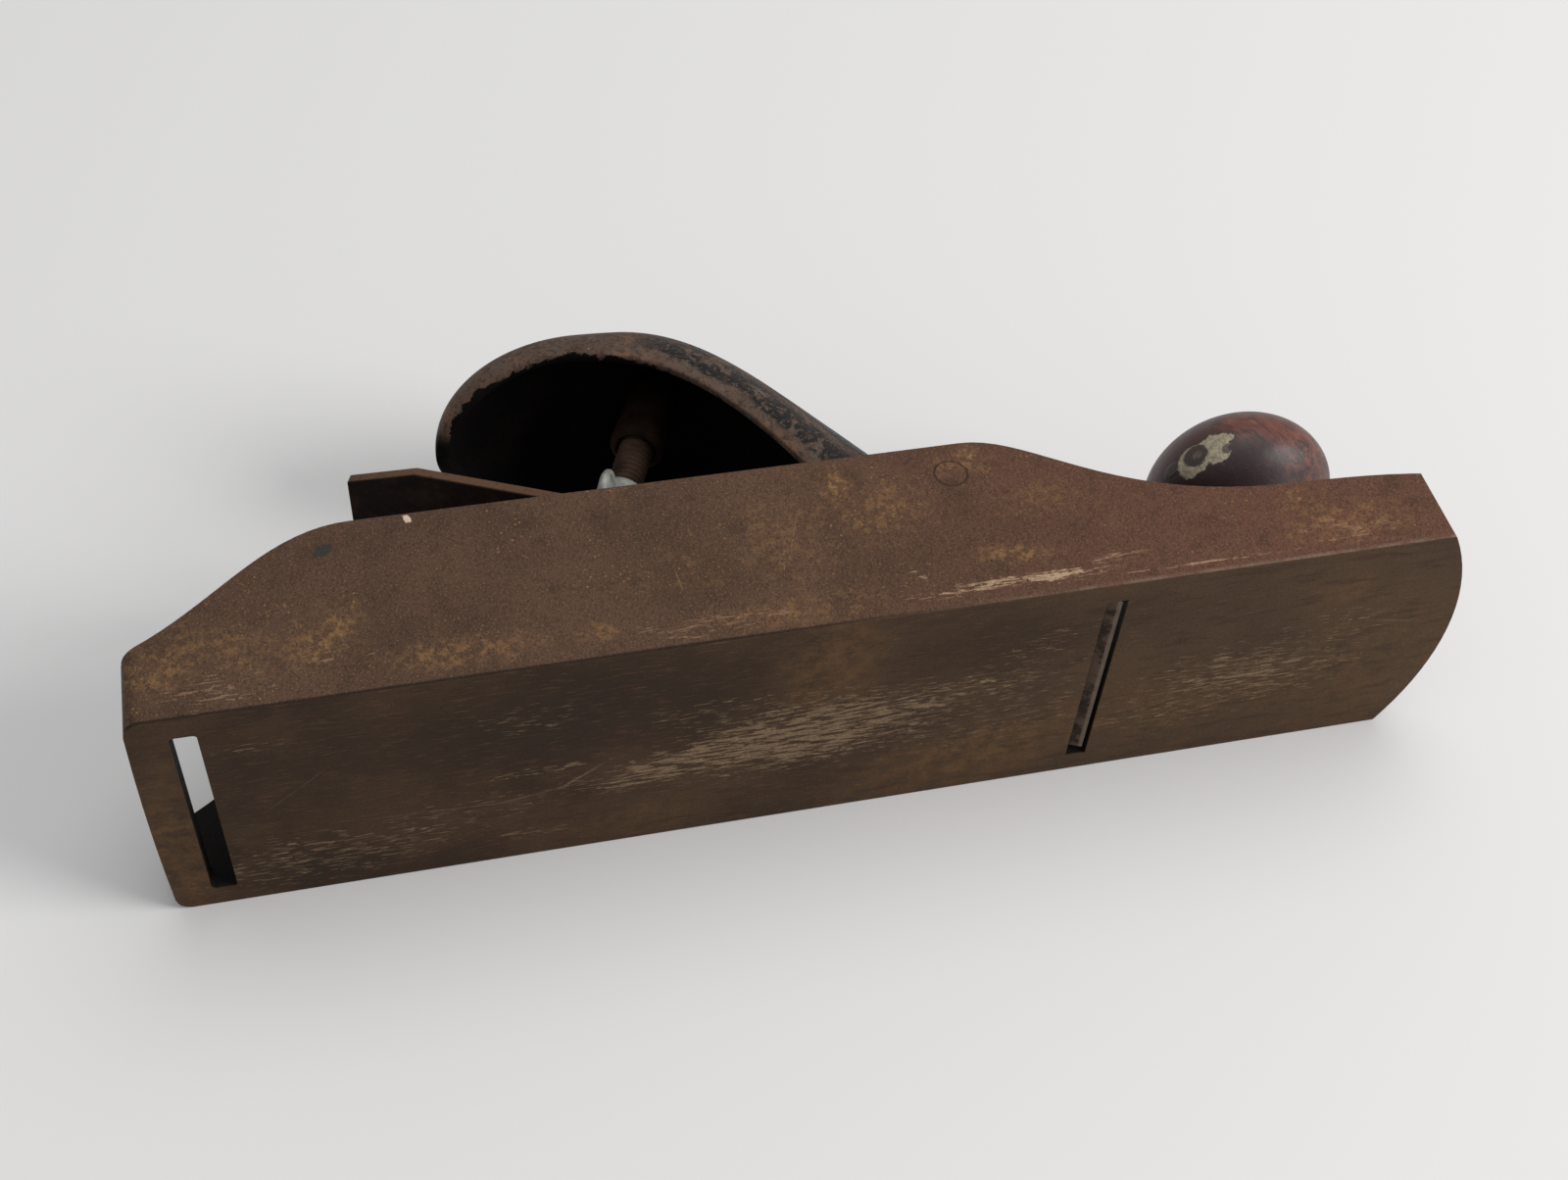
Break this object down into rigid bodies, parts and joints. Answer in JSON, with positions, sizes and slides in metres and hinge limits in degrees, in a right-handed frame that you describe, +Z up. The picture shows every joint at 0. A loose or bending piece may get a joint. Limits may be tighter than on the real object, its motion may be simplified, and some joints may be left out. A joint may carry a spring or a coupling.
{
  "type": "iron bench plane",
  "caption": "Low angle iron jack plane with ogee cheeks, a plain iron, a hollow domed lever cap on a cross pin, a wing clamp screw and a turned wooden front knob.",
  "frame": {"origin": "centre of the sole's bounding rectangle, on the plane of the sole", "axes": "+X towards the toe, +Y towards the left cheek, +Z up from the sole"},
  "size_m": [0.2764, 0.0636, 0.1065],
  "materials": {
    "casting": "brown rust with worn ochre and grey patches",
    "pin": "brown rust, dressed flush",
    "iron": "dark brown rust",
    "japanned": "black japanning worn to brown rust",
    "screw": "brown rusty steel",
    "white_metal": "dull pale white metal",
    "knob_wood": "dark red polished hardwood with a fleck of old cream paint",
    "brass": "tarnished"
  },
  "bodies": {
    "casting": {"body_casting": "casting", "fulcrum_pin": "pin", "front_knob": "knob_wood", "knob_stud": "screw", "knob_nut": "brass"},
    "iron": {"plane_iron": "iron"},
    "cap": {"lever_cap": "japanned"},
    "foot": {"thrust_foot": "screw"},
    "screw": {"clamp_screw": "screw", "wing_nut": "white_metal"}
  },
  "joints": [
    {"name": "cap_rock", "type": "hinge", "parent": "casting", "child": "cap", "pos_m": [0.0308, 0, 0.0355], "axis": [0, -1, 0], "range_deg": [0, 4]},
    {"name": "screw_feed", "type": "slide", "parent": "cap", "child": "foot", "axis": [0.3955, 0, 0.9184], "range_m": [0, 0.00503]},
    {"name": "screw_turn", "type": "hinge", "parent": "foot", "child": "screw", "pos_m": [-0.04301, 0, 0.04603], "axis": [0.3955, 0, 0.9184], "range_deg": [0, 1281.75]},
    {"name": "iron_slide", "type": "slide", "parent": "casting", "child": "iron", "axis": [0.9184, 0, -0.3955], "range_m": [-0.025, 0.0008]}
  ],
  "couplings": [
    {"joint": "cap_rock", "follows": "screw_turn", "ratio": 0.0031207},
    {"joint": "screw_feed", "follows": "screw_turn", "m_per_rad": 0.00022457}
  ]
}
